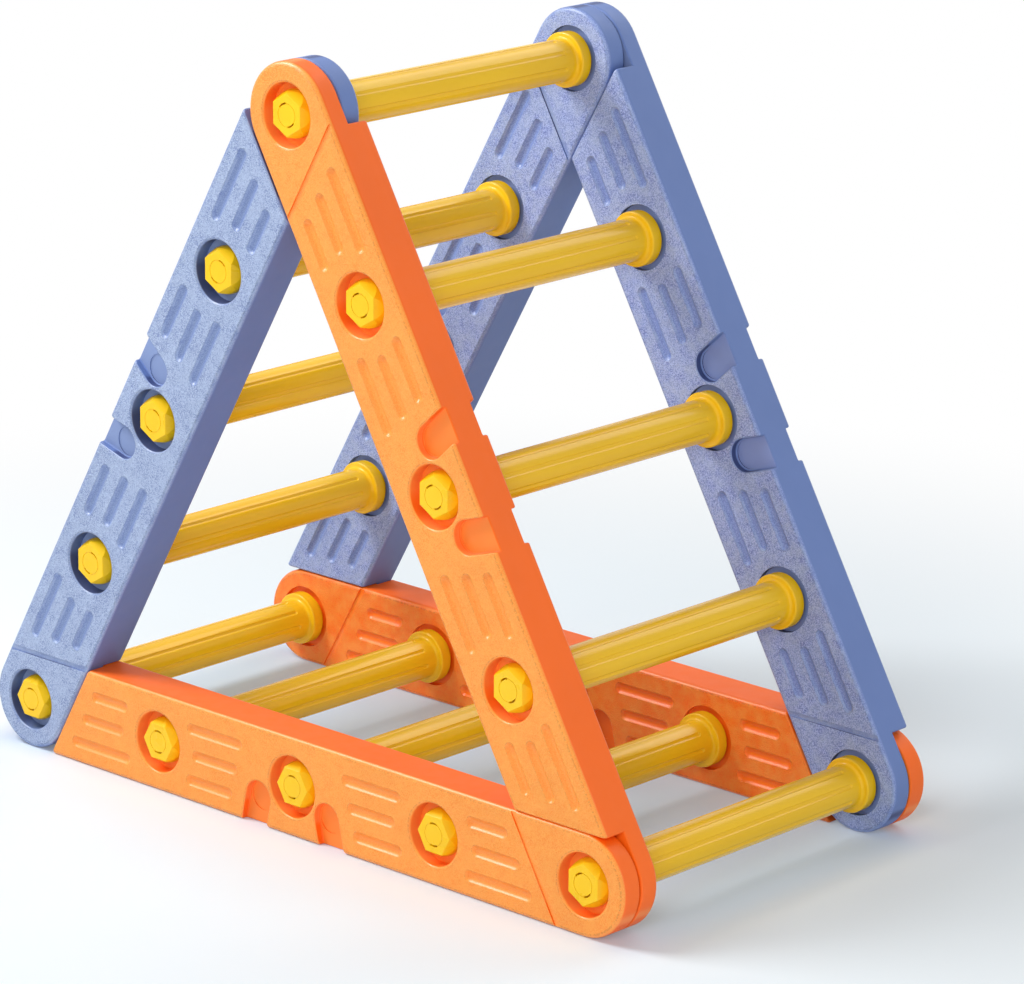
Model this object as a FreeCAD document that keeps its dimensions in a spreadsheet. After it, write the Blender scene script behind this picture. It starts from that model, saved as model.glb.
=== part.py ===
import FreeCAD, Part
import math
import os
import Sketcher
from FreeCAD import Placement, Rotation, Vector

# A toddler's climbing triangle: two triangular side frames of moulded beams,
# joined by fluted rungs that hex bolts hold through the beams.
# Frame: X along the base, Y from the near side frame to the far one, Z up,
# origin on the floor under the middle.

# Driving dimensions, in millimetres, degrees and counts
DIMENSIONS = (
    # Whole triangle
    ("corner_span", 640, "between the axes of two corner rungs"),
    ("side_spaces", 4, "rung spaces along one side"),
    ("clear_span", 287, "between the inner faces of the two side frames"),
    # Beam
    ("beam_width", 85, "beam across its face, and its round ends"),
    ("beam_depth", 40, "beam from inner face to outer face"),
    ("beam_edge_round", 4, "round along the face edges"),
    ("beam_wall", 4, "wall round the hollows"),
    ("lap_gap", 0.6, "between a lap's round end and the neighbour's shoulder"),
    ("lap_seat_diameter", 66, "raised round seat on the face of a lap"),
    ("lap_relief", 0.9, "by which the rest of a lap's face lies lower than its seat"),
    ("lap_edge_round", 1.6, "round along the edges of a lap and of its shoulder"),
    ("score_width", 4.8, "score line that carries the shoulder across the face"),
    ("score_depth", 1.2, "depth of the score line"),
    # Seats in the beam
    ("bolt_recess_diameter", 52, "round recess for a bolt head"),
    ("recess_rim_round", 2.2, "round at the rim of a bolt recess"),
    ("collar_recess_gap", 4.5, "open ring round a rung's collar"),
    ("collar_recess_depth", 5, "sunk seat of a rung's neck"),
    # Round-bottomed slots in the faces
    ("slot_width", 9.5, "shallow slot across"),
    ("slot_depth", 2.8, "shallow slot's depth"),
    ("slot_pitch", 22.6, "between the rows of slots"),
    ("slot_shift", 1.5, "of the middle row towards the outer edge"),
    ("slot_lap_space", 15.5, "between a slot's end and the shoulder line"),
    ("slot_seat_space", 16.5, "between a slot's end and a bolt recess"),
    ("slot_middle_reach", 64.5, "from the middle bolt to the end of the middle row"),
    ("slot_middle_step", 6.3, "by which each further row ends short of that"),
    ("slot_rim_round", 1.2, "round at the rim of a slot"),
    # Hook pockets beside the middle bolt
    ("pocket_gap", 3.8, "between a pocket's round end and the middle bolt's recess"),
    ("pocket_bearing", 25, "of a pocket from the beam's length, in degrees"),
    ("pocket_width", 28, "pocket across"),
    ("pocket_tilt", 13, "lean of a pocket away from the middle bolt"),
    ("pocket_depth", 6.4, "pocket's depth"),
    ("pocket_floor_round", 1.2, "round at the floor of a pocket"),
    ("pocket_rim_round", 1.4, "round at the rim of a pocket"),
    ("pocket_disc_diameter", 25, "round sinking in the pocket's floor"),
    ("pocket_disc_depth", 0.7, "depth of that sinking"),
    ("recess_rim_share", 0.58, "most of the pocket gap that the recess rim's round takes"),
    ("pocket_rim_share", 0.38, "most of the pocket gap that the pocket rim's round takes"),
    # Rung
    ("rung_diameter", 36, "tube outside"),
    ("rung_wall", 4, "tube wall"),
    ("neck_diameter", 37, "neck between collar and seat"),
    ("collar_diameter", 46.5, "collar outside"),
    ("collar_height", 10.5, "collar's front above the beam's inner face"),
    ("collar_lift", 0.3, "collar's back above the beam's inner face"),
    ("collar_root_round", 2.5, "between collar and tube"),
    ("collar_edge_round", 1.5, "collar's outer edge"),
    ("flute_count", 8, "flutes round the tube"),
    ("flute_width", 4.4, "flute across"),
    ("flute_depth", 1.1, "flute's depth"),
    ("flute_end_space", 11, "between a flute's end and the collar"),
    ("socket_spare", 4, "socket's depth beyond the bolt's tip"),
    # Bolt
    ("shank_diameter", 20, "shank outside"),
    ("shank_grip", 24, "length of the shank inside the rung"),
    ("shank_tip_chamfer", 1.5, "lead-in at the tip"),
    ("socket_fit", 0.05, "radial play of the shank in the rung"),
    ("bore_clearance", 0.3, "radial play of the shank in the beam"),
    ("flange_diameter", 39.5, "flange outside"),
    ("flange_height", 3.5, "flange thickness at its rim"),
    ("flange_edge_round", 1.5, "round at the flange's rim"),
    ("hex_flats", 30, "hex face across its flats"),
    ("hex_height", 8.5, "tapered head above the flange"),
    ("hex_lean", 32, "lean of the flats from the bolt's axis, in degrees"),
    ("hex_corner_spare", 0.2, "head's round beyond the corners of the hex face"),
    ("hex_inset", 0.5, "head below the beam's outer face"),
    ("hex_edge_round", 0.6, "round at the edge of the hex face"),
    ("ring_diameter", 18.8, "fine ring on the hex face"),
    ("ring_width", 0.5, "ring line across"),
    ("ring_depth", 0.5, "ring line's depth"),
    ("slit_width", 1.5, "each of two slits in the ring, across"),
    ("slit_depth", 5, "slit's depth"),
    ("slit_arc", 48, "slit's length round the ring, in degrees"),
    # Cutting
    ("overrun", 6, "by which a cut passes the face that it leaves"),
)

# The triangle is equilateral, and a hexagon turns into itself by the same angle
CORNER_ANGLE = 60
FULL_TURN = 360
# Two modelled edges count as the same within this distance
SAME_PLACE = 1e-4


class Size:
    """A size from the sheet, or one worked out from such sizes: its value and its formula."""

    def __init__(self, now, formula):
        self.now = float(now)
        self.formula = formula

    @staticmethod
    def of(other):
        return other if isinstance(other, Size) else Size(other, repr(float(other)))

    def join(self, sign, other, now):
        return Size(now, "(%s %s %s)" % (self.formula, sign, other.formula))

    def __add__(self, other):
        other = Size.of(other)
        return self.join("+", other, self.now + other.now)

    def __sub__(self, other):
        other = Size.of(other)
        return self.join("-", other, self.now - other.now)

    def __mul__(self, other):
        other = Size.of(other)
        return self.join("*", other, self.now * other.now)

    def __truediv__(self, other):
        other = Size.of(other)
        return self.join("/", other, self.now / other.now)

    def __neg__(self):
        return ZERO - self


def sine(angle):
    angle = Size.of(angle)
    return Size(math.sin(math.radians(angle.now)), "sin(%s)" % angle.formula)


def cosine(angle):
    angle = Size.of(angle)
    return Size(math.cos(math.radians(angle.now)), "cos(%s)" % angle.formula)


def root(square):
    return Size(math.sqrt(square.now), "sqrt(%s)" % square.formula)


def larger(one, other):
    return Size(max(one.now, other.now), "max(%s; %s)" % (one.formula, other.formula))


def smaller(one, other):
    return Size(min(one.now, other.now), "min(%s; %s)" % (one.formula, other.formula))


ZERO = Size(0, "0")

doc = FreeCAD.newDocument("climbing_triangle")
sheet = doc.addObject("Spreadsheet::Sheet", "sizes")
size = {}
for row, (alias, number, meaning) in enumerate(DIMENSIONS, start=1):
    sheet.set("A%d" % row, alias)
    sheet.set("B%d" % row, str(number))
    sheet.set("C%d" % row, meaning)
    sheet.setAlias("B%d" % row, alias)
    size[alias] = Size(number, "sizes." + alias)
doc.recompute()


# Drawing helpers: every point, radius and length is bound to the sheet
def bind(feature, name, amount):
    feature.setExpression(name, Size.of(amount).formula)


def origin_item(body, role):
    """One of the body's own origin planes or axes."""
    return next(item for item in body.Origin.OriginFeatures if item.Role == role)


def new_sketch(body, name, role="XY_Plane", height=ZERO):
    """A sketch on one of the body's origin planes, raised along the plane's normal."""
    sketch = body.newObject("Sketcher::SketchObject", name)
    sketch.AttachmentSupport = [(origin_item(body, role), "")]
    sketch.MapMode = "FlatFace"
    sketch.AttachmentOffset = Placement(Vector(0, 0, height.now), Rotation())
    bind(sketch, "AttachmentOffset.Base.z", height)
    return sketch


def hold(sketch, kind, geometry, position, amount):
    """Holds one coordinate of a sketched point at its bound distance from the origin."""
    index = sketch.addConstraint(
        Sketcher.Constraint(kind, -1, 1, geometry, position, amount.now))
    bind(sketch, "Constraints[%d]" % index, amount)


def vector(point):
    return Vector(point[0].now, point[1].now, 0)


def draw_circle(sketch, centre, radius):
    circle = sketch.addGeometry(Part.Circle(vector(centre), Vector(0, 0, 1), radius.now))
    index = sketch.addConstraint(Sketcher.Constraint("Radius", circle, radius.now))
    bind(sketch, "Constraints[%d]" % index, radius)
    hold(sketch, "DistanceX", circle, 3, centre[0])
    hold(sketch, "DistanceY", circle, 3, centre[1])


def draw_arc(sketch, start, end, centre, turns_left):
    """An arc between two corners; the corners and one coordinate of its centre hold it."""
    first, last = (start, end) if turns_left else (end, start)
    middle = vector(centre)
    angles = [math.atan2(*reversed((vector(p) - middle)[:2])) for p in (first, last)]
    if angles[1] <= angles[0]:
        angles[1] += math.radians(FULL_TURN)
    circle = Part.Circle(middle, Vector(0, 0, 1), (vector(first) - middle).Length)
    arc = sketch.addGeometry(Part.ArcOfCircle(circle, *angles))
    chord = vector(end) - vector(start)
    if abs(chord.x) < abs(chord.y):
        hold(sketch, "DistanceX", arc, 3, centre[0])
    else:
        hold(sketch, "DistanceY", arc, 3, centre[1])
    return (arc, 1, 2) if turns_left else (arc, 2, 1)


def draw_outline(sketch, corners, arcs=None):
    """A closed outline; arcs gives an edge's centre and whether it turns left round it."""
    arcs = arcs or {}
    edges = []
    for index, start in enumerate(corners):
        end = corners[(index + 1) % len(corners)]
        if index in arcs:
            edges.append(draw_arc(sketch, start, end, *arcs[index]))
        else:
            line = sketch.addGeometry(Part.LineSegment(vector(start), vector(end)))
            edges.append((line, 1, 2))
    for index, (edge, start, end) in enumerate(edges):
        following, next_start, _ = edges[(index + 1) % len(edges)]
        sketch.addConstraint(
            Sketcher.Constraint("Coincident", edge, end, following, next_start))
        hold(sketch, "DistanceX", edge, start, corners[index][0])
        hold(sketch, "DistanceY", edge, start, corners[index][1])
    return edges


def draw_stadium(sketch, left, right, row, radius):
    """A long shape with two round ends, its axis along the sketch's X."""
    low, high = row - radius, row + radius
    draw_outline(sketch, [(left, low), (right, low), (right, high), (left, high)],
                 {1: ((right, row), True), 3: ((left, row), True)})


def extrude(feature, sketch, length, upwards, both_sides):
    """Sets up a pad or pocket; a pad goes up its sketch's normal and a pocket down it."""
    feature.Profile = sketch
    feature.SideType = "Symmetric" if both_sides else "One side"
    feature.Reversed = upwards != feature.isDerivedFrom("PartDesign::Pad")
    feature.Length = length.now
    bind(feature, "Length", length)
    doc.recompute()
    return feature


def pad(body, name, sketch, length, upwards=True, both_sides=False):
    return extrude(body.newObject("PartDesign::Pad", name), sketch, length, upwards, both_sides)


def pocket(body, name, sketch, length, upwards=False, both_sides=False):
    return extrude(body.newObject("PartDesign::Pocket", name), sketch, length, upwards, both_sides)


def repeat_along(body, name, original, length, count):
    """Repeats a feature along the body's X axis, over a length."""
    pattern = body.newObject("PartDesign::LinearPattern", name)
    pattern.Originals = [original]
    pattern.Direction = (origin_item(body, "X_Axis"), [""])
    bind(pattern, "Length", length)
    bind(pattern, "Occurrences", count)
    body.Tip = pattern
    doc.recompute()


def repeat_round(body, name, originals, axis_role, count):
    """Repeats features evenly round one of the body's axes."""
    pattern = body.newObject("PartDesign::PolarPattern", name)
    pattern.Originals = originals
    pattern.Axis = (origin_item(body, axis_role), [""])
    pattern.Angle = FULL_TURN
    bind(pattern, "Occurrences", count)
    body.Tip = pattern
    doc.recompute()


def mirror(body, name, originals, plane_role):
    copy = body.newObject("PartDesign::Mirrored", name)
    copy.Originals = originals
    copy.MirrorPlane = (origin_item(body, plane_role), [""])
    body.Tip = copy
    doc.recompute()


def revolve(body, kind, name, sketch, axis):
    feature = body.newObject("PartDesign::" + kind, name)
    feature.Profile = sketch
    feature.ReferenceAxis = axis
    feature.Angle = FULL_TURN
    doc.recompute()
    return feature


def cutter_radius(width, depth):
    """Radius of the round cutter that leaves a trough of this width and depth."""
    return (width * width / 4 + depth * depth) / (depth * 2)


def draw_cutter(sketch, first, last, axis_at, radius, upright):
    """Half of a long cutter with ball ends, from the first ball's centre to the last one's."""
    corners = [(axis_at, first - radius), (axis_at, last + radius),
               (axis_at - radius, last), (axis_at - radius, first)]
    centres = [(axis_at, last), (axis_at, first)]
    if not upright:
        corners, centres = ([(y, x) for x, y in points] for points in (corners, centres))
    edges = draw_outline(sketch, corners, {1: (centres[0], upright), 3: (centres[1], upright)})
    return edges[0][0]


def cut_trough(body, name, sketch, cutter_edge):
    """Turns the sketched cutters about the line on which the given edge lies."""
    line = sketch.Geometry[cutter_edge]
    axis = sketch.addGeometry(Part.LineSegment(line.StartPoint, line.EndPoint), True)
    for position in (1, 2):
        sketch.addConstraint(
            Sketcher.Constraint("Coincident", axis, position, cutter_edge, position))
    return revolve(body, "Groove", name, sketch, (sketch, ["Axis0"]))


def round_edges(body, name, radius, test):
    """Rounds every edge of the body whose points all pass the test."""
    base = body.Tip
    chosen = ["Edge%d" % number for number, edge in enumerate(base.Shape.Edges, start=1)
              if all(test(point) for point in edge.discretize(Number=5))]
    fillet = body.newObject("PartDesign::Fillet", name)
    fillet.Base = (base, chosen)
    fillet.Radius = radius.now
    bind(fillet, "Radius", radius)
    doc.recompute()


def same(one, other):
    return abs(one - other) < SAME_PLACE


# Sizes that several pieces share
half_span = size["corner_span"] / 2
rung_pitch = size["corner_span"] / size["side_spaces"]
half_width = size["beam_width"] / 2
half_depth = size["beam_depth"] / 2
half_clear = size["clear_span"] / 2
bolt_recess_depth = size["hex_inset"] + size["hex_height"] + size["flange_height"]
bolt_recess_radius = size["bolt_recess_diameter"] / 2
collar_recess_radius = size["collar_diameter"] / 2 + size["collar_recess_gap"]
shank_radius = size["shank_diameter"] / 2
bolted_depth = size["beam_depth"] - bolt_recess_depth - size["collar_recess_depth"]
pocket_radius = size["pocket_width"] / 2
pocket_reach = bolt_recess_radius + size["pocket_gap"] + pocket_radius
pocket_spread = pocket_reach * cosine(size["pocket_bearing"])
pocket_offset = pocket_reach * sine(size["pocket_bearing"])
pocket_lean = (sine(size["pocket_tilt"]), cosine(size["pocket_tilt"]))


# Beam: one hollow plastic moulding with a half-thickness round lap at each end.
# Its own X runs along it, Y points out of the triangle and Z to the bolt heads.
# The lap at -X keeps the outer half of the thickness, the lap at +X the inner half.
def shoulder_at(across, beyond):
    """Where a line that is parallel to the neighbour's edge, and beyond it, crosses the beam."""
    reach = (half_width + size["lap_gap"] + beyond - across * sine(CORNER_ANGLE / 2))
    return reach / cosine(CORNER_ANGLE / 2) - half_span


def on_lap_edge(p):
    """Whether a point lies on the outer edge of a lap's face."""
    round_end = math.hypot(max(abs(p.x) - half_span.now, 0), p.y)
    return same(abs(p.z), size["lap_relief"].now) and same(round_end, half_width.now)


def on_shoulder_edge(p):
    """Whether a point lies where a shoulder meets the face of the beam."""
    line = shoulder_at(Size.of(p.y), ZERO).now
    return same(abs(p.z), half_depth.now) and p.x * p.z > 0 and same(-abs(p.x), line)


def slot_rows():
    """Where each row of slots lies across the beam, and its slots' ends on the -X half."""
    seat_reach = bolt_recess_radius + size["slot_seat_space"]
    first_seat = rung_pitch - half_span
    for step in (-1, 0, 1):
        across = size["slot_shift"] + size["slot_pitch"] * step
        beside_seat = root(seat_reach * seat_reach - across * across)
        middle_end = size["slot_middle_reach"] + size["slot_middle_step"] * step
        yield across, ((shoulder_at(across, size["slot_lap_space"]), first_seat - beside_seat),
                       (first_seat + beside_seat, -middle_end))


def on_slot(p, slots):
    """Whether a point lies over the outline of one of the slots."""
    for first, last, across, radius in slots:
        along = max(first - p.x, 0, p.x - last)
        if same(math.hypot(along, p.y - across), radius):
            return True
    return False


def pocket_outline(side):
    """A U-shaped hook pocket that opens at the outer edge, and the centre of its round end."""
    lean_x, lean_y = pocket_lean[0] * side, pocket_lean[1]
    centre = (pocket_spread * side, pocket_offset)
    reach = (half_width - pocket_offset) / lean_y + size["overrun"] + pocket_radius
    right = (centre[0] + pocket_radius * lean_y, centre[1] - pocket_radius * lean_x)
    left = (centre[0] - pocket_radius * lean_y, centre[1] + pocket_radius * lean_x)
    out = (reach * lean_x, reach * lean_y)
    corners = [right, (right[0] + out[0], right[1] + out[1]),
               (left[0] + out[0], left[1] + out[1]), left]
    return corners, centre


def on_pocket(p):
    """Whether a point lies over the outline of one of the hook pockets."""
    lean_x, lean_y = (lean.now for lean in pocket_lean)
    x, y = abs(p.x) - pocket_spread.now, p.y - pocket_offset.now
    out, across = x * lean_x + y * lean_y, x * lean_y - y * lean_x
    return same(math.hypot(min(out, 0), across), pocket_radius.now)


def make_beam(label):
    body = doc.addObject("PartDesign::Body", label)

    # Bar with round ends, its face edges rounded
    sketch = new_sketch(body, label + "_outline")
    draw_stadium(sketch, -half_span, half_span, ZERO, half_width)
    pad(body, label + "_bar", sketch, size["beam_depth"], both_sides=True)
    round_edges(body, label + "_edges", size["beam_edge_round"],
                lambda p: same(abs(p.z), half_depth.now))

    # Laps, each with its shoulder and the score line that carries the shoulder across
    past_end = -half_span - half_width - size["overrun"]
    past_edge = half_width + size["overrun"]
    lap_outline = [(past_end, -past_edge), (shoulder_at(-past_edge, ZERO), -past_edge),
                   (shoulder_at(past_edge, ZERO), past_edge), (past_end, past_edge)]
    sketch = new_sketch(body, label + "_lap_outline")
    draw_outline(sketch, lap_outline)
    lap = pocket(body, label + "_lap", sketch, half_depth + size["overrun"])
    sketch = new_sketch(body, label + "_relief_outline")
    draw_outline(sketch, lap_outline)
    draw_circle(sketch, (-half_span, ZERO), size["lap_seat_diameter"] / 2)
    relief = pocket(body, label + "_relief", sketch, size["lap_relief"], upwards=True)
    sketch = new_sketch(body, label + "_score_outline", height=half_depth)
    half_score = size["score_width"] / 2
    draw_outline(sketch, [(shoulder_at(-past_edge, -half_score), -past_edge),
                          (shoulder_at(-past_edge, half_score), -past_edge),
                          (shoulder_at(past_edge, half_score), past_edge),
                          (shoulder_at(past_edge, -half_score), past_edge)])
    score = pocket(body, label + "_score", sketch, size["score_depth"])
    repeat_round(body, label + "_laps", [lap, relief, score], "Y_Axis", 2)
    round_edges(body, label + "_lap_edges", size["lap_edge_round"],
                lambda p: on_lap_edge(p) or on_shoulder_edge(p))

    # Seats of the bolt heads and of the rung collars, and the bores between them
    sketch = new_sketch(body, label + "_bolt_recess_outline", height=half_depth)
    draw_circle(sketch, (-half_span, ZERO), bolt_recess_radius)
    recess = pocket(body, label + "_bolt_recess", sketch, bolt_recess_depth)
    repeat_along(body, label + "_bolt_recesses", recess,
                 size["corner_span"] - rung_pitch, size["side_spaces"])
    sketch = new_sketch(body, label + "_collar_recess_outline", height=-half_depth)
    draw_circle(sketch, (rung_pitch - half_span, ZERO), collar_recess_radius)
    seat = pocket(body, label + "_collar_recess", sketch, size["collar_recess_depth"], upwards=True)
    repeat_along(body, label + "_collar_recesses", seat,
                 size["corner_span"] - rung_pitch, size["side_spaces"])
    sketch = new_sketch(body, label + "_bore_outline")
    draw_circle(sketch, (-half_span, ZERO), shank_radius + size["bore_clearance"])
    bore = pocket(body, label + "_bore", sketch, size["beam_depth"], both_sides=True)
    repeat_along(body, label + "_bores", bore, size["corner_span"], size["side_spaces"] + 1)
    rim_radius = bolt_recess_radius.now
    rim_places = [rung_pitch.now * k - half_span.now for k in range(int(size["side_spaces"].now))]
    rim_round = smaller(size["recess_rim_round"], size["pocket_gap"] * size["recess_rim_share"])
    round_edges(body, label + "_recess_rims", rim_round,
                lambda p: same(p.z, half_depth.now) and any(
                    same(math.hypot(p.x - x, p.y), rim_radius) for x in rim_places))

    # Rows of shallow slots and the hook pockets, alike on both faces
    slot_radius = size["slot_width"] / 2
    slot_cutter = cutter_radius(size["slot_width"], size["slot_depth"])
    slot_axis = half_depth - size["slot_depth"] + slot_cutter
    cuts, slots = [], []
    for number, (across, tips) in enumerate(slot_rows(), start=1):
        row = "%s_slot_row_%d" % (label, number)
        sketch = new_sketch(body, row + "_section", "XZ_Plane", -across)
        spans = [(first + slot_radius, last - slot_radius) for first, last in tips]
        spans += [(-last, -first) for first, last in spans]
        edges = [draw_cutter(sketch, first, last, slot_axis, slot_cutter, False)
                 for first, last in spans]
        cuts.append(cut_trough(body, row, sketch, edges[0]))
        slots += [(first.now, last.now, across.now, slot_radius.now) for first, last in spans]
    pocket_sketch = new_sketch(body, label + "_pocket_outlines", height=half_depth)
    disc_sketch = new_sketch(body, label + "_disc_outlines", height=half_depth - size["pocket_depth"])
    for side in (-1, 1):
        corners, centre = pocket_outline(side)
        draw_outline(pocket_sketch, corners, {3: (centre, True)})
        draw_circle(disc_sketch, centre, size["pocket_disc_diameter"] / 2)
    cuts.append(pocket(body, label + "_pockets", pocket_sketch, size["pocket_depth"]))
    cuts.append(pocket(body, label + "_discs", disc_sketch, size["pocket_disc_depth"]))
    mirror(body, label + "_other_face", cuts, "XY_Plane")
    round_edges(body, label + "_slot_rims", size["slot_rim_round"],
                lambda p: same(abs(p.z), half_depth.now) and on_slot(p, slots))
    pocket_floor = half_depth.now - size["pocket_depth"].now
    round_edges(body, label + "_pocket_floors", size["pocket_floor_round"],
                lambda p: same(abs(p.z), pocket_floor) and on_pocket(p))
    rim_round = smaller(size["pocket_rim_round"], size["pocket_gap"] * size["pocket_rim_share"])
    round_edges(body, label + "_pocket_rims", rim_round,
                lambda p: same(abs(p.z), half_depth.now) and on_pocket(p))

    # Hollows between the seats
    inside = half_width - size["beam_wall"]
    beside_seat = larger(bolt_recess_radius, collar_recess_radius) + size["beam_wall"]
    lean_x, lean_y = pocket_lean
    pocket_edge = (pocket_spread + (inside - pocket_offset) * lean_x / lean_y
                   + pocket_radius / lean_y)
    middle_end = -(pocket_edge + size["beam_wall"])
    before_seat = rung_pitch - half_span - beside_seat
    after_seat = rung_pitch - half_span + beside_seat
    sketch = new_sketch(body, label + "_hollow_outlines")
    for mirrored in (False, True):
        for bay in ([(shoulder_at(-inside, size["beam_wall"]), -inside), (before_seat, -inside),
                     (before_seat, inside), (shoulder_at(inside, size["beam_wall"]), inside)],
                    [(after_seat, -inside), (middle_end, -inside),
                     (middle_end, inside), (after_seat, inside)]):
            draw_outline(sketch, [(-x, y) for x, y in reversed(bay)] if mirrored else bay)
    pocket(body, label + "_hollows", sketch,
           size["beam_depth"] - (size["slot_depth"] + size["beam_wall"]) * 2, both_sides=True)
    return body


# Rung: a hollow moulded tube with a collar and a threaded socket at each end,
# and round-ended flutes along it. Its own Z is its axis.
def make_rung(label):
    body = doc.addObject("PartDesign::Body", label)
    end = half_clear + size["collar_recess_depth"]
    collar_front, collar_back = half_clear - size["collar_height"], half_clear - size["collar_lift"]
    socket_end = end - size["shank_grip"] - size["socket_spare"]
    tube, collar, neck = (size[name] / 2 for name in (
        "rung_diameter", "collar_diameter", "neck_diameter"))
    socket, hollow = shank_radius + size["socket_fit"], tube - size["rung_wall"]
    hollow_end = socket_end - (hollow - socket)
    half = [(socket, end), (socket, socket_end), (hollow, hollow_end)]
    outer = [(tube, collar_front), (collar, collar_front), (collar, collar_back),
             (neck, collar_back), (neck, end)]
    sketch = new_sketch(body, label + "_section", "XZ_Plane")
    draw_outline(sketch, half + [(r, -z) for r, z in reversed(half)]
                 + [(r, -z) for r, z in reversed(outer)] + outer)
    revolve(body, "Revolution", label + "_tube", sketch, (origin_item(body, "Z_Axis"), [""]))
    round_edges(body, label + "_collar_roots", size["collar_root_round"],
                lambda p: same(math.hypot(p.x, p.y), tube.now))
    round_edges(body, label + "_collar_edges", size["collar_edge_round"],
                lambda p: same(math.hypot(p.x, p.y), collar.now) and same(abs(p.z), collar_front.now))

    # Flutes along the tube
    cutter = cutter_radius(size["flute_width"], size["flute_depth"])
    reach = collar_front - size["flute_end_space"] - cutter
    sketch = new_sketch(body, label + "_flute_section", "XZ_Plane")
    edge = draw_cutter(sketch, -reach, reach, tube - size["flute_depth"] + cutter, cutter, True)
    flute = cut_trough(body, label + "_flute", sketch, edge)
    repeat_round(body, label + "_flutes", [flute], "Z_Axis", size["flute_count"])
    return body


# Bolt: round tapered head on a flange, with six flats leaning in to a hex face, and a plain
# shank. Its own Z points out of the head, and its origin is where the flange sits on the floor
# of the beam's recess.
def make_bolt(label):
    body = doc.addObject("PartDesign::Body", label)
    face = size["flange_height"] + size["hex_height"]
    flange, flat = size["flange_diameter"] / 2, size["hex_flats"] / 2
    top = flat / cosine(CORNER_ANGLE / 2) + size["hex_corner_spare"]
    sketch = new_sketch(body, label + "_head_section", "XZ_Plane")
    draw_outline(sketch, [(ZERO, ZERO), (flange, ZERO), (flange, size["flange_height"]),
                          (top, face), (ZERO, face)])
    revolve(body, "Revolution", label + "_head", sketch, (origin_item(body, "Z_Axis"), [""]))
    round_edges(body, label + "_flange_edge", size["flange_edge_round"],
                lambda p: same(p.z, size["flange_height"].now))
    slope = sine(size["hex_lean"]) / cosine(size["hex_lean"])
    above, below = face + size["overrun"], face - (flange - flat) / slope
    sketch = new_sketch(body, label + "_flat_section", "YZ_Plane")
    draw_outline(sketch, [(flat - size["overrun"] * slope, above), (flange, below), (flange, above)])
    cut = pocket(body, label + "_flat", sketch, size["flange_diameter"], both_sides=True)
    repeat_round(body, label + "_flats", [cut], "Z_Axis", FULL_TURN / CORNER_ANGLE)
    round_edges(body, label + "_hex_edges", size["hex_edge_round"], lambda p: same(p.z, face.now))
    sketch = new_sketch(body, label + "_shank_outline")
    draw_circle(sketch, (ZERO, ZERO), shank_radius)
    shank_length = bolted_depth + size["shank_grip"]
    pad(body, label + "_shank", sketch, shank_length, upwards=False)
    tip = body.newObject("PartDesign::Chamfer", label + "_tip")
    tip.Base = (body.Group[-2], ["Edge%d" % number for number, edge in enumerate(
        body.Group[-2].Shape.Edges, start=1) if same(edge.BoundBox.ZMax, -shank_length.now)])
    tip.Size = size["shank_tip_chamfer"].now
    bind(tip, "Size", size["shank_tip_chamfer"])
    doc.recompute()

    # Fine ring on the hex face, with two slits in it
    ring = size["ring_diameter"] / 2
    sketch = new_sketch(body, label + "_ring_outline", height=face)
    draw_circle(sketch, (ZERO, ZERO), ring + size["ring_width"] / 2)
    draw_circle(sketch, (ZERO, ZERO), ring - size["ring_width"] / 2)
    pocket(body, label + "_ring", sketch, size["ring_depth"])
    inner, outer = ring - size["slit_width"] / 2, ring + size["slit_width"] / 2
    half_arc = size["slit_arc"] / 2
    rise, drop = sine(half_arc), cosine(half_arc)
    sketch = new_sketch(body, label + "_slit_outlines", height=face)
    for side in (-1, 1):
        draw_outline(sketch, [(inner * rise * side, inner * drop * side),
                              (outer * rise * side, outer * drop * side),
                              (-outer * rise * side, outer * drop * side),
                              (-inner * rise * side, inner * drop * side)],
                     {1: ((ZERO, ZERO), True), 3: ((ZERO, ZERO), False)})
    pocket(body, label + "_slits", sketch, size["slit_depth"])
    return body


# Putting together
def copy_of(source, label, placement, onto_source=False):
    """A further piece of the same shape; onto_source moves it on from where the source lies."""
    link = doc.addObject("App::Link", label)
    link.Label = label
    link.LinkedObject = source
    link.LinkTransform = onto_source
    link.Placement = placement
    return link


along_y = Vector(0, 1, 0)
base_height = half_width.now
span = size["corner_span"].now
triangle_height = span * math.sin(math.radians(CORNER_ANGLE))
middle = Vector(0, 0, base_height + triangle_height / 3)
corners = {"top": Vector(0, 0, base_height + triangle_height),
           "left": Vector(-half_span.now, 0, base_height),
           "right": Vector(half_span.now, 0, base_height)}
pieces = []

# Side frames: the base beam turned twice about the triangle's middle, and its mirror image
near_base = make_beam("near_base_beam")
near_base.Placement = Placement(
    Vector(0, -half_clear.now - half_depth.now, base_height),
    Rotation(Vector(-1, 0, 0), Vector(0, 0, -1), Vector(0, -1, 0), "XYZ"))
far_base = doc.addObject("Part::Mirroring", "far_base_beam")
far_base.Source = near_base
far_base.Normal = along_y
doc.recompute()
pieces += [near_base, far_base]
for side, beam in (("near", near_base), ("far", far_base)):
    for name, turn in (("left", 2 * CORNER_ANGLE), ("right", -2 * CORNER_ANGLE)):
        placement = Placement(Vector(0, 0, 0), Rotation(along_y, turn), middle)
        pieces.append(copy_of(beam, "%s_%s_beam" % (side, name), placement, onto_source=True))

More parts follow.
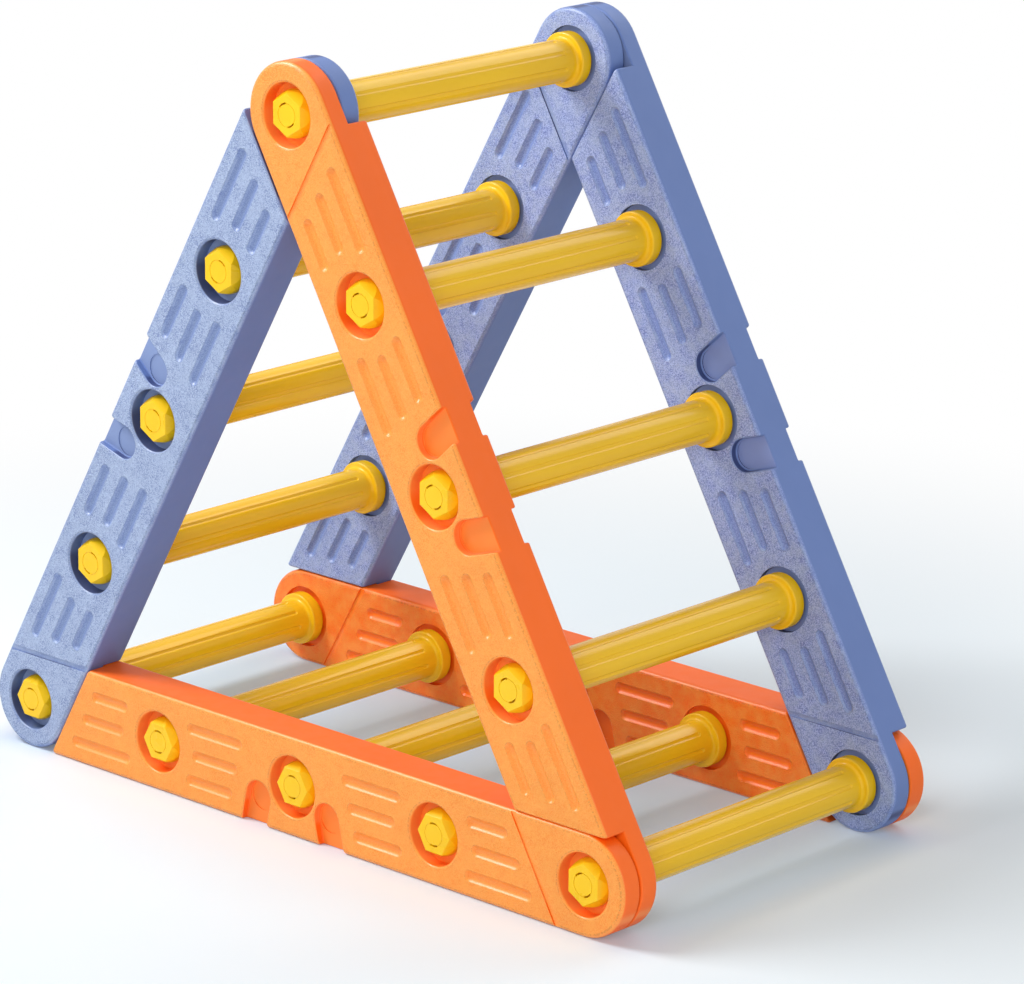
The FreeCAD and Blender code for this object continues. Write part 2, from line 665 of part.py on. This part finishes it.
# Places at the corners and evenly along the sides, each with the turns, in degrees,
# at which its rung's flutes and its bolts' hex heads came to rest
RESTING_TURNS = {"top": (-12, CORNER_ANGLE / 2), "left": (5, -CORNER_ANGLE / 2),
                 "right": (22.5, CORNER_ANGLE / 2), "base": (-3, 0)}
SIDES = (("left", "top", "left", ("upper", "middle", "lower")),
         ("right", "top", "right", ("upper", "middle", "lower")),
         ("base", "left", "right", ("left", "middle", "right")))
places = {"top_corner": (corners["top"], *RESTING_TURNS["top"]),
          "left_corner": (corners["left"], *RESTING_TURNS["base"]),
          "right_corner": (corners["right"], *RESTING_TURNS["right"])}
spaces = int(size["side_spaces"].now)
for name, start, end, steps in SIDES:
    for number in range(1, spaces):
        step = steps[number - 1] if spaces - 1 == len(steps) else str(number)
        place = corners[start] + (corners[end] - corners[start]) * (number / spaces)
        places["%s_%s" % (name, step)] = (place, *RESTING_TURNS[name])

# Rungs, across from frame to frame
upright = Rotation(Vector(1, 0, 0), Vector(0, 0, -1), Vector(0, 1, 0), "XYZ")
rung = None
for name, (place, flute_turn, _) in places.items():
    placement = Placement(place, Rotation(along_y, -flute_turn) * upright)
    if rung is None:
        rung = make_rung("rung_" + name)
        rung.Placement = placement
        pieces.append(rung)
    else:
        pieces.append(copy_of(rung, "rung_" + name, placement))

# Bolts, seated in the recesses of both frames
seat_y = half_clear.now + size["beam_depth"].now - bolt_recess_depth.now
bolt = None
for side, sign in (("near", -1), ("far", 1)):
    for name, (place, _, hex_turn) in places.items():
        facing = Rotation(Vector(-sign, 0, 0), Vector(0, 0, 1), Vector(0, sign, 0), "XYZ")
        placement = Placement(place + along_y * (sign * seat_y),
                              facing * Rotation(Vector(0, 0, 1), hex_turn))
        label = "bolt_%s_%s" % (side, name)
        if bolt is None:
            bolt = make_bolt(label)
            bolt.Placement = placement
            pieces.append(bolt)
        else:
            pieces.append(copy_of(bolt, label, placement))
doc.recompute()

# Every feature has to have worked, and every cut to have cut, before anything is written
for item in doc.Objects:
    if {"Invalid", "Error"} & set(item.State):
        raise RuntimeError("%s failed: %s" % (item.Label, item.State))
    if item.isDerivedFrom("PartDesign::Pocket") or item.isDerivedFrom("PartDesign::Groove"):
        if item.Shape.Volume >= item.BaseFeature.Shape.Volume - SAME_PLACE:
            raise RuntimeError("%s cuts nothing" % item.Label)
os.makedirs("parts", exist_ok=True)
for piece in pieces:
    shape = Part.getShape(piece)
    if shape.isNull() or not shape.isValid() or len(shape.Solids) != 1:
        raise RuntimeError("%s is not one sound solid" % piece.Label)
for piece in pieces:
    Part.getShape(piece).exportStep("parts/%s.step" % piece.Label)
print("%d pieces" % len(pieces))
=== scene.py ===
import math

import bpy
from mathutils import Matrix, Vector


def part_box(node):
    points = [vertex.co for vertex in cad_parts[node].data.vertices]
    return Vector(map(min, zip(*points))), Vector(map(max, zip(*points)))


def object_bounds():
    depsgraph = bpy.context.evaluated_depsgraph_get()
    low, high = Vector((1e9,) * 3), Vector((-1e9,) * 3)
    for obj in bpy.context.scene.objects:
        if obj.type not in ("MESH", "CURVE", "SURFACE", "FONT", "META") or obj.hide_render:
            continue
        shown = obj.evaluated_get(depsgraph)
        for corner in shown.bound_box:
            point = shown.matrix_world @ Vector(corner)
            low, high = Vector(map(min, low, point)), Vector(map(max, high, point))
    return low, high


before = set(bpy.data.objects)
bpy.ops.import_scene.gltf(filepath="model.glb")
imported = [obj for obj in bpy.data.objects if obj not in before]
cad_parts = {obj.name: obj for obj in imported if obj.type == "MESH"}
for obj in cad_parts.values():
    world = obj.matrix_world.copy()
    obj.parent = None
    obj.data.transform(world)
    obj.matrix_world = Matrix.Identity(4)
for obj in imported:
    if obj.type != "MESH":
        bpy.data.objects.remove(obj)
cad_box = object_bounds()


# Side frames
# Six hollow beams, three to each triangle, moulded in polyethylene, blue or orange.
# The mould's flat faces were blasted to a sand grain, and its edges, laps and pockets polished.
def linear(code):
    """Turns an sRGB hex colour into linear red, green, blue and alpha."""
    channels = [int(code[i:i + 2], 16) / 255 for i in (1, 3, 5)]
    return [c / 12.92 if c <= 0.04045 else ((c + 0.055) / 1.055) ** 2.4
            for c in channels] + [1.0]


def add_node(tree, kind, values=None, links=None, **settings):
    """Adds a shader node with its options, the values of its sockets and what feeds the others."""
    node = tree.nodes.new("ShaderNode" + kind)
    for name, value in settings.items():
        setattr(node, name, value)
    for socket, value in (values or {}).items():
        node.inputs[socket].default_value = value
    for socket, source in (links or {}).items():
        tree.links.new(source, node.inputs[socket])
    return node


def new_material(name):
    """Starts a material and returns it with its node tree and its shader."""
    material = bpy.data.materials.new(name)
    material.use_nodes = True
    return material, material.node_tree, material.node_tree.nodes["Principled BSDF"]


HALF_CORNER = math.radians(30)  # the triangle has equal sides
beam_low, beam_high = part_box("near_base_beam")
beam_middle_y = -(beam_low[1] + beam_high[1]) / 2
half_depth = (beam_high[1] - beam_low[1]) / 2
beam_width = beam_high[2] - beam_low[2]
to_centre = (beam_high[0] - beam_low[0] - beam_width) * math.tan(HALF_CORNER) / 2
centre_z = beam_width / 2 + to_centre
GRAINED_DEPTH = 0.0030      # the grain covers a face, its slots and its rounded edges to this depth
GRAIN_SIZE = 0.0008         # sand grain, drawn a little coarser than it is so that it shows
GRAIN_HEIGHT = 0.00022
EDGE_RELIEF = 0.12          # share of the grain's height left on slot walls and rounded edges
BORDER_DEPTH = 0.0006       # the border of a face lies within this depth, where it starts to turn
BORDER_DOT_SIZE = 0.0017    # size of the dots of painted shade along that border, for the grain's bumps turned from the light; the dots are darker by this share
BORDER_PAINTED_SHADE = -0.20        # and the dots are darker by this share
CLOUD_SIZE = 0.070          # slow drift of the pigment in the melt
SCUFF_SIZE = 0.011          # faint patches where faces have rubbed in handling
POCKET_TINT = 0.50          # polished floors of the pockets look part way to the paler face
RIM_DEPTH = 0.0016          # edges and rims are painted paler, by wear and a painted highlight, to this depth below a face and at most this far on the way to the palest face colour
RIM_WEAR_AND_HIGHLIGHT = 0.45             # and at most this far on the way to the palest face colour
RECESS_HALF_WIDTH = 0.0275  # the round recesses lie within this distance of a beam's middle line
FACE_DULL = 0.25            # grained faces are this much rougher than polished edges
SIDE_DULL = 0.22            # and the sides and the floors of pockets this much

# How squarely a surface faces along Y, from 0 on a beam's sides to 1 on its faces.
WALL_TO_FACE = {"From Min": 0.25, "From Max": 0.55}
EDGE_TO_FLAT = {"From Min": 0.93, "From Max": 0.99}
RUBBED_AND_HIGHLIT_RIM = {"From Min": 0.30, "From Max": 0.75}
BORDER_FROM = {"From Min": 0.86, "From Max": 0.92}
BORDER_UNTIL = {"From Min": 0.9995, "From Max": 0.985}

# The part of each noise that goes from none to full, and what it is turned into.
GRAIN_SPREAD = {"From Min": 0.36, "From Max": 0.64}
DOT_SPREAD = {"From Min": 0.44, "From Max": 0.54}
SCUFF_SPREAD = {"From Min": 0.35, "From Max": 0.65}
CLOUD_SHADE = {"From Min": 0.3, "From Max": 0.7, "To Min": 0.97, "To Max": 1.03}
EDGE_POLISH = {**SCUFF_SPREAD, "To Min": 0.32, "To Max": 0.38}


def beam_plastic(name, smooth_colour, painted_recess_shading_colour, painted_shade_inner_colours, painted_sheen_outer_colours, slot_tint):
    """Moulded polyethylene: polished edges keep the full colour, the grain scatters and looks paler.

    The two colours of a face are those of the hollows and of the peaks of its grain. Outer faces
    are painted paler, a painted sheen, and inner faces deeper, a painted shade where one frame
    shades the other. The walls of the round recesses get a painted shading colour of their own,
    darker on blue and paler on orange. Slots and rounded edges, which the blasting hardly reached,
    go from the polished colour to the face's by slot_tint.
    """
    material, tree, shader = new_material(name)

    # Depth below a face, and how squarely the surface faces out
    place = add_node(tree, "TexCoord")
    across = add_node(tree, "SeparateXYZ", links={"Vector": place.outputs["Object"]})
    facing = add_node(tree, "SeparateXYZ", links={"Vector": place.outputs["Normal"]})
    side = add_node(tree, "Math", links={0: across.outputs["Y"]}, operation="ABSOLUTE")
    off_middle = add_node(tree, "Math", {1: beam_middle_y}, {0: side.outputs[0]},
                          operation="SUBTRACT")
    outside = add_node(tree, "Math", {1: 0.0}, {0: off_middle.outputs[0]},
                       operation="GREATER_THAN")
    off_middle = add_node(tree, "Math", links={0: off_middle.outputs[0]}, operation="ABSOLUTE")
    near_face = add_node(tree, "Math", {1: half_depth - GRAINED_DEPTH},
                         {0: off_middle.outputs[0]}, operation="GREATER_THAN")
    near_rim = add_node(tree, "Math", {1: half_depth - RIM_DEPTH},
                        {0: off_middle.outputs[0]}, operation="GREATER_THAN")
    at_face = add_node(tree, "Math", {1: half_depth - BORDER_DEPTH},
                       {0: off_middle.outputs[0]}, operation="GREATER_THAN")
    deep = add_node(tree, "Math", {0: 1.0}, {1: near_face.outputs[0]}, operation="SUBTRACT")
    turn = add_node(tree, "Math", links={0: facing.outputs["Y"]}, operation="ABSOLUTE")
    flat = add_node(tree, "MapRange", WALL_TO_FACE, {"Value": turn.outputs[0]},
                    interpolation_type="SMOOTHSTEP")
    grained = add_node(tree, "Math", links={0: near_face.outputs[0], 1: flat.outputs["Result"]},
                       operation="MULTIPLY")
    square_on = add_node(tree, "MapRange", EDGE_TO_FLAT, {"Value": turn.outputs[0]})
    level = add_node(tree, "Math", links={0: at_face.outputs[0], 1: square_on.outputs["Result"]},
                     operation="MULTIPLY")

    # Walls of the round recesses, where their painted shading goes, by their distance from a beam's
    # middle line
    either_side = add_node(tree, "Math", links={0: across.outputs["X"]}, operation="ABSOLUTE")
    above = add_node(tree, "Math", {1: centre_z}, {0: across.outputs["Z"]}, operation="SUBTRACT")
    below = add_node(tree, "Math", {1: -1.0}, {0: above.outputs[0]}, operation="MULTIPLY")
    rise = add_node(tree, "Math", {1: math.sin(HALF_CORNER)}, {0: above.outputs[0]},
                    operation="MULTIPLY")
    outward = add_node(tree, "Math", {1: math.cos(HALF_CORNER)},
                       {0: either_side.outputs[0], 2: rise.outputs[0]}, operation="MULTIPLY_ADD")
    outward = add_node(tree, "Math", links={0: outward.outputs[0], 1: below.outputs[0]},
                       operation="MAXIMUM")
    off_line = add_node(tree, "Math", {1: to_centre}, {0: outward.outputs[0]},
                        operation="SUBTRACT")
    off_line = add_node(tree, "Math", links={0: off_line.outputs[0]}, operation="ABSOLUTE")
    recess_shading = add_node(tree, "MapRange", {"From Min": RECESS_HALF_WIDTH,
                                         "From Max": RECESS_HALF_WIDTH * 0.8},
                      {"Value": off_line.outputs[0]}, interpolation_type="SMOOTHSTEP")
    wall = add_node(tree, "Math", {0: 1.0}, {1: flat.outputs["Result"]}, operation="SUBTRACT")
    recess_shading = add_node(tree, "Math", links={0: recess_shading.outputs["Result"], 1: wall.outputs[0]},
                      operation="MULTIPLY")

    # Sand grain, drift of the pigment, scuffs and the dots of painted shade along borders
    grain = add_node(tree, "TexNoise", {"Scale": 1 / GRAIN_SIZE, "Detail": 1.0, "Roughness": 0.5},
                     {"Vector": place.outputs["Object"]})
    grain_level = add_node(tree, "MapRange", GRAIN_SPREAD, {"Value": grain.outputs["Fac"]})
    cloud = add_node(tree, "TexNoise", {"Scale": 1 / CLOUD_SIZE, "Detail": 2.0},
                     {"Vector": place.outputs["Object"]})
    scuff = add_node(tree, "TexNoise", {"Scale": 1 / SCUFF_SIZE, "Detail": 3.0},
                     {"Vector": place.outputs["Object"]})
    dots = add_node(tree, "TexNoise", {"Scale": 1 / BORDER_DOT_SIZE, "Detail": 0.0},
                    {"Vector": place.outputs["Object"]})

    # Colour of the faces, slots, pockets and polished sides
    speckle = add_node(tree, "Mix", {2: 0.5},
                       {0: grained.outputs[0], 3: grain_level.outputs["Result"]})
    # Outer faces carry a painted sheen and inner faces a painted shade
    faces = []
    for hollow, peak in (painted_shade_inner_colours, painted_sheen_outer_colours):
        faces.append(add_node(tree, "Mix", {6: linear(hollow), 7: linear(peak)},
                              {0: speckle.outputs[0]}, data_type="RGBA"))
    face = add_node(tree, "Mix", links={0: outside.outputs[0], 6: faces[0].outputs[2],
                                        7: faces[1].outputs[2]}, data_type="RGBA")
    pale = add_node(tree, "MapRange", {"To Min": slot_tint}, {"Value": level.outputs[0]})
    pale = add_node(tree, "Math", links={0: pale.outputs["Result"], 1: grained.outputs[0]},
                    operation="MULTIPLY")
    tint = add_node(tree, "Math", {1: POCKET_TINT}, {0: square_on.outputs["Result"]},
                    operation="MULTIPLY")
    tint = add_node(tree, "Math", links={0: tint.outputs[0], 1: deep.outputs[0]},
                    operation="MULTIPLY")
    tint = add_node(tree, "Math", links={0: tint.outputs[0], 1: pale.outputs[0]},
                    operation="MAXIMUM")
    # Painted shading on the recess walls: darker on blue, paler on orange against their warm bounce
    # light
    smooth = add_node(tree, "Mix", {6: linear(smooth_colour), 7: linear(painted_recess_shading_colour)},
                      {0: recess_shading.outputs[0]}, data_type="RGBA")
    finish = add_node(tree, "Mix", links={0: tint.outputs[0], 6: smooth.outputs[2],
                                          7: face.outputs[2]}, data_type="RGBA")

    # Rims paled by wear and a painted highlight, dots of painted shade along borders, and drift over
    # that colour
    # Painted highlight along rims, broken into patches by the scuffs as wear
    rim_wear_and_highlight = add_node(tree, "MapRange", RUBBED_AND_HIGHLIT_RIM, {"Value": turn.outputs[0]})
    rim_wear_and_highlight = add_node(tree, "Math", links={0: rim_wear_and_highlight.outputs["Result"], 1: near_rim.outputs[0]},
                   operation="MULTIPLY")
    highlight_and_wear_patches = add_node(tree, "MapRange", {**SCUFF_SPREAD, "To Max": RIM_WEAR_AND_HIGHLIGHT},
                      {"Value": scuff.outputs["Fac"]})
    rim_wear_and_highlight = add_node(tree, "Math", links={0: rim_wear_and_highlight.outputs[0], 1: highlight_and_wear_patches.outputs["Result"]},
                   operation="MULTIPLY")
    finish = add_node(tree, "Mix", {7: linear(painted_sheen_outer_colours[1])},
                      {0: rim_wear_and_highlight.outputs[0], 6: finish.outputs[2]}, data_type="RGBA")
    # Painted shade: dark dots along the border where a face starts to turn, for grain bumps turned
    # from the light
    past_edge = add_node(tree, "MapRange", BORDER_FROM, {"Value": turn.outputs[0]})
    not_flat = add_node(tree, "MapRange", BORDER_UNTIL, {"Value": turn.outputs[0]})
    painted_shade_dots = add_node(tree, "Math", links={0: past_edge.outputs["Result"],
                                           1: not_flat.outputs["Result"]}, operation="MULTIPLY")
    painted_shade_dots = add_node(tree, "Math", links={0: painted_shade_dots.outputs[0], 1: at_face.outputs[0]},
                      operation="MULTIPLY")
    dotted = add_node(tree, "MapRange", DOT_SPREAD, {"Value": dots.outputs["Fac"]})
    painted_shade_dots = add_node(tree, "Math", links={0: painted_shade_dots.outputs[0], 1: dotted.outputs["Result"]},
                      operation="MULTIPLY")
    drift = add_node(tree, "MapRange", CLOUD_SHADE, {"Value": cloud.outputs["Fac"]})
    shade = add_node(tree, "Math", {1: BORDER_PAINTED_SHADE},
                     {0: painted_shade_dots.outputs[0], 2: drift.outputs["Result"]}, operation="MULTIPLY_ADD")
    colour = add_node(tree, "HueSaturation", links={"Color": finish.outputs[2],
                                                    "Value": shade.outputs[0]})
    tree.links.new(colour.outputs["Color"], shader.inputs["Base Color"])

    # Roughness, relief and gloss
    polish = add_node(tree, "MapRange", EDGE_POLISH, {"Value": scuff.outputs["Fac"]})
    dulled = add_node(tree, "Math", {1: FACE_DULL},
                      {0: level.outputs[0], 2: polish.outputs["Result"]}, operation="MULTIPLY_ADD")
    dulled = add_node(tree, "Math", {1: SIDE_DULL}, {0: deep.outputs[0], 2: dulled.outputs[0]},
                      operation="MULTIPLY_ADD")
    tree.links.new(dulled.outputs[0], shader.inputs["Roughness"])
    relief = add_node(tree, "MapRange", {"To Min": EDGE_RELIEF}, {"Value": level.outputs[0]})
    relief = add_node(tree, "Math", links={0: relief.outputs["Result"], 1: grained.outputs[0]},
                      operation="MULTIPLY")
    height = add_node(tree, "Math", links={0: grain_level.outputs["Result"], 1: relief.outputs[0]},
                      operation="MULTIPLY")
    bump = add_node(tree, "Bump", {"Strength": 1.0, "Distance": GRAIN_HEIGHT},
                    {"Height": height.outputs[0]})
    tree.links.new(bump.outputs["Normal"], shader.inputs["Normal"])
    shader.inputs["IOR"].default_value = 1.5
    shader.inputs["Specular IOR Level"].default_value = 0.6
    return material


# Inner colours are darkened by painted shade and outer colours paled by painted sheen
blue_beam = beam_plastic("blue_polyethylene_sand_grain", smooth_colour="#677FB8",
                         painted_recess_shading_colour="#3E4C7C", painted_shade_inner_colours=("#6274BA", "#ACBEF0"),
                         painted_sheen_outer_colours=("#7080B2", "#B2C2DE"), slot_tint=0.45)
orange_beam = beam_plastic("orange_polyethylene_sand_grain", smooth_colour="#FF6C04",
                           painted_recess_shading_colour="#FF8A40", painted_shade_inner_colours=("#FF6C08", "#FF8218"),
                           painted_sheen_outer_colours=("#FA8D2A", "#FFA94C"), slot_tint=0.90)
BEAM_MATERIALS = {"near_left_beam": blue_beam, "near_right_beam": orange_beam,
                  "near_base_beam": orange_beam, "far_left_beam": blue_beam,
                  "far_right_beam": blue_beam, "far_base_beam": orange_beam}
for node, material in BEAM_MATERIALS.items():
    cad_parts[node].material_slots[0].material = material


# Rungs
# Twelve hollow tubes with collars, injection moulded in glossy golden polypropylene.
# Each seats in a round recess of both frames, and its flutes keep small hands from slipping.
FLOW_SIZE = 0.024           # soft streaks where the melt flowed along the tube
FLOW_STRETCH = (1.0, 0.12, 1.0)
FLOW_SHADE = {"From Min": 0.3, "From Max": 0.7}
FLOW_GLOSS = {"From Min": 0.35, "From Max": 0.65}
RIPPLE_SIZE = 0.007         # faint ripple of a moulded gloss surface
RIPPLE_HEIGHT = 0.00002


def gloss_plastic(name, colour, deep_colour, roughness):
    """Glossy polypropylene: an even strong colour with faint streaks and a slight ripple."""
    material, tree, shader = new_material(name)
    place = add_node(tree, "TexCoord")
    stretched = add_node(tree, "Mapping", {"Scale": FLOW_STRETCH},
                         {"Vector": place.outputs["Object"]})
    flow = add_node(tree, "TexNoise", {"Scale": 1 / FLOW_SIZE, "Detail": 3.0},
                    {"Vector": stretched.outputs["Vector"]})
    ripple = add_node(tree, "TexNoise", {"Scale": 1 / RIPPLE_SIZE, "Detail": 1.0},
                      {"Vector": stretched.outputs["Vector"]})
    streak = add_node(tree, "MapRange", FLOW_SHADE, {"Value": flow.outputs["Fac"]})
    shade = add_node(tree, "Mix", {6: linear(deep_colour), 7: linear(colour)},
                     {0: streak.outputs["Result"]}, data_type="RGBA")
    tree.links.new(shade.outputs[2], shader.inputs["Base Color"])
    gloss = add_node(tree, "MapRange", {**FLOW_GLOSS, "To Min": roughness * 0.9,
                                        "To Max": roughness * 1.1}, {"Value": flow.outputs["Fac"]})
    tree.links.new(gloss.outputs["Result"], shader.inputs["Roughness"])
    bump = add_node(tree, "Bump", {"Strength": 1.0, "Distance": RIPPLE_HEIGHT},
                    {"Height": ripple.outputs["Fac"]})
    tree.links.new(bump.outputs["Normal"], shader.inputs["Normal"])
    shader.inputs["IOR"].default_value = 1.49
    shader.inputs["Specular IOR Level"].default_value = 0.35
    return material


rung_plastic = gloss_plastic("golden_polypropylene_gloss", "#F8C71E", "#F0BC16", roughness=0.21)
for node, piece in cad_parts.items():
    if node.startswith("rung_"):
        piece.material_slots[0].material = rung_plastic


# Bolts
# Twenty-four hex-headed bolts with a round flange, moulded in bright yellow polypropylene.
# Each passes through a beam into the end of a rung and sits just below the beam's outer face.
bolt_plastic = gloss_plastic("yellow_polypropylene_gloss", "#FACB16", "#F5C410", roughness=0.30)
for node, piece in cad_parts.items():
    if node.startswith("bolt_"):
        piece.material_slots[0].material = bolt_plastic


# Floor
# A plain white studio floor. It takes the shadow near the triangle and runs out to pure white.
# Between the frames it is cooler, against the warm light off the orange beams, and it glows a flat
# grey to the camera, a painted shade in place of part of its own.
FLOOR_SIZE = 12.0
FLOOR_COLOUR = "#EAF2F7"
UNDER_COLOUR = "#D2E5FA"
PAINTED_SHADE_GREY = "#C6CACE"
PAINTED_SHADE_SHARE = 0.35           # how far the floor's shade between the frames gives way to that painted grey glow
UNDER_LENGTH = 0.68
UNDER_WIDTH = 0.30
UNDER_FADE = 0.06
SHADED_RADIUS = 0.45        # as far as the floor shows its full shade
WHITE_RADIUS = 1.25         # from here on it is white to the camera and in reflections
bpy.ops.mesh.primitive_plane_add(size=FLOOR_SIZE)
floor = bpy.context.object
floor.name = "floor"
material, tree, shader = new_material("white_studio_floor")
shader.inputs["Roughness"].default_value = 0.9
shader.inputs["Specular IOR Level"].default_value = 0.0
place = add_node(tree, "TexCoord")
distance = add_node(tree, "VectorMath", links={0: place.outputs["Object"]}, operation="LENGTH")
spread = add_node(tree, "SeparateXYZ", links={"Vector": place.outputs["Object"]})
under = []
for axis, reach in (("X", UNDER_LENGTH), ("Y", UNDER_WIDTH)):
    size = add_node(tree, "Math", links={0: spread.outputs[axis]}, operation="ABSOLUTE")
    under.append(add_node(tree, "MapRange", {"From Min": reach / 2 + UNDER_FADE,
                                             "From Max": reach / 2},
                          {"Value": size.outputs[0]}, interpolation_type="SMOOTHSTEP"))
cool = add_node(tree, "Math", links={0: under[0].outputs["Result"], 1: under[1].outputs["Result"]},
                operation="MULTIPLY")
paint = add_node(tree, "Mix", {6: linear(FLOOR_COLOUR), 7: linear(UNDER_COLOUR)},
                 {0: cool.outputs[0]}, data_type="RGBA")
tree.links.new(paint.outputs[2], shader.inputs["Base Color"])
away = add_node(tree, "MapRange", {"From Min": SHADED_RADIUS, "From Max": WHITE_RADIUS},
                {"Value": distance.outputs["Value"]}, interpolation_type="SMOOTHSTEP")
ray = add_node(tree, "LightPath")
seen = add_node(tree, "Math", links={0: ray.outputs["Is Camera Ray"],
                                     1: ray.outputs["Is Glossy Ray"]}, operation="MAXIMUM")
seen = add_node(tree, "Math", links={0: seen.outputs[0], 1: ray.outputs["Is Transmission Ray"]},
                operation="MAXIMUM")
white_out = add_node(tree, "Math", links={0: away.outputs["Result"], 1: seen.outputs[0]},
                     operation="MULTIPLY")
white = add_node(tree, "Emission", {"Color": linear("#FFFFFF"), "Strength": 1.0})
# Painted shade: a flat grey glow, seen by the camera, takes the place of part of the floor's shade
# between the frames
grey_glow_share = add_node(tree, "Math", links={0: cool.outputs[0], 1: seen.outputs[0]}, operation="MULTIPLY")
grey_glow_share = add_node(tree, "Math", {1: PAINTED_SHADE_SHARE}, {0: grey_glow_share.outputs[0]}, operation="MULTIPLY")
grey_glow = add_node(tree, "Emission", {"Color": linear(PAINTED_SHADE_GREY), "Strength": 1.0})
shaded = add_node(tree, "MixShader", links={0: grey_glow_share.outputs[0], 1: shader.outputs[0],
                                            2: grey_glow.outputs[0]})
surface = add_node(tree, "MixShader", links={0: white_out.outputs[0], 1: shaded.outputs[0],
                                             2: white.outputs[0]})
tree.links.new(surface.outputs[0], tree.nodes["Material Output"].inputs["Surface"])
floor.data.materials.append(material)


# Light
# A soft box high on the camera's left, which throws the shadow, a fill beside the camera that
# leaves no highlight, a weak one low on the right, one behind that draws the highlights along the
# rungs, and an even white room.
ROOM_LIGHT = 0.34           # what the room adds to the lamps; seen or mirrored it is white
middle = Vector((0.0, 0.0, (cad_box[0][2] + cad_box[1][2]) / 2))
# Name, azimuth and elevation in degrees, distance and width in metres, power in watts
SOFT_BOXES = (("key", -52, 46, 1.9, 0.8, 30.0),
              ("camera_side", 36, 20, 2.8, 1.0, 24.0),
              ("right", 95, 12, 2.6, 1.6, 7.5),
              ("behind", 178, 42, 2.4, 1.5, 15.0))
for name, azimuth, elevation, away_m, width, power in SOFT_BOXES:
    turn = (Matrix.Rotation(math.radians(azimuth), 4, "Z")
            @ Matrix.Rotation(-math.radians(elevation), 4, "X"))
    spot = middle + turn @ Vector((0, -away_m, 0))
    aim = (middle - spot).to_track_quat("-Z", "Y").to_euler()
    bpy.ops.object.light_add(type="AREA", location=spot, rotation=aim)
    lamp = bpy.context.object
    lamp.name = name
    lamp.data.energy = power
    lamp.data.size = width
    lamp.visible_glossy = name != "camera_side"
world = bpy.data.worlds.new("white_room")
world.use_nodes = True
bpy.context.scene.world = world
tree = world.node_tree
room = tree.nodes["Background"]
room.inputs["Color"].default_value = linear("#FFFFFF")
ray = add_node(tree, "LightPath")
seen = add_node(tree, "Math", links={0: ray.outputs["Is Camera Ray"],
                                     1: ray.outputs["Is Glossy Ray"]}, operation="MAXIMUM")
seen = add_node(tree, "Math", links={0: seen.outputs[0], 1: ray.outputs["Is Transmission Ray"]},
                operation="MAXIMUM")
strength = add_node(tree, "MapRange", {"To Min": ROOM_LIGHT}, {"Value": seen.outputs[0]})
tree.links.new(strength.outputs["Result"], room.inputs["Strength"])


# Camera
# Far back with a long lens, to the right of the near side frame and a little above it.
# Its place, angles in degrees and lens in millimetres are fitted to the photo's bolts and collars.
CAMERA_SPOT = (2.64225, -2.73247, 1.35464)
AZIMUTH, ELEVATION, ROLL = 43.2587, 16.1510, 0.3028
LENS = 168.645
turn = (Matrix.Rotation(math.radians(AZIMUTH), 3, "Z")
        @ Matrix.Rotation(math.radians(90 - ELEVATION), 3, "X")
        @ Matrix.Rotation(math.radians(ROLL), 3, "Z"))
bpy.ops.object.camera_add(location=CAMERA_SPOT, rotation=turn.to_euler())
camera = bpy.context.object
camera.data.lens = LENS
bpy.context.scene.camera = camera
bpy.context.scene.view_settings.view_transform = "Standard"
